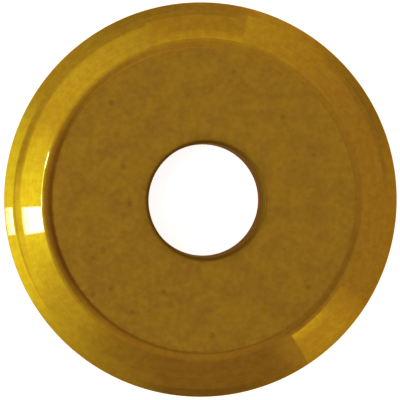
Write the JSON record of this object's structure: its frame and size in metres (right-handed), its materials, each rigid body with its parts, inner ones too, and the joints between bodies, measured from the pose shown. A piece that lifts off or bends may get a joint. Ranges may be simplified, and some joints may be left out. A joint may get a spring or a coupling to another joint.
{
  "type": "tile cutter wheel",
  "caption": "Round coated carbide scoring wheel with a plain centre bore and a double-bevel cutting edge.",
  "frame": {"origin": "centre of the wheel, on the bore's axis and in the plane of the cutting edge", "axes": "+Z along the wheel's axis, out of the upper flat side; the wheel is round, so +X and +Y are any two radii at a right angle"},
  "size_m": [0.0222, 0.0222, 0.002],
  "materials": {
    "coated_carbide": "satin"
  },
  "bodies": {
    "root": {"cutter_wheel": "coated_carbide"}
  },
  "joints": []
}
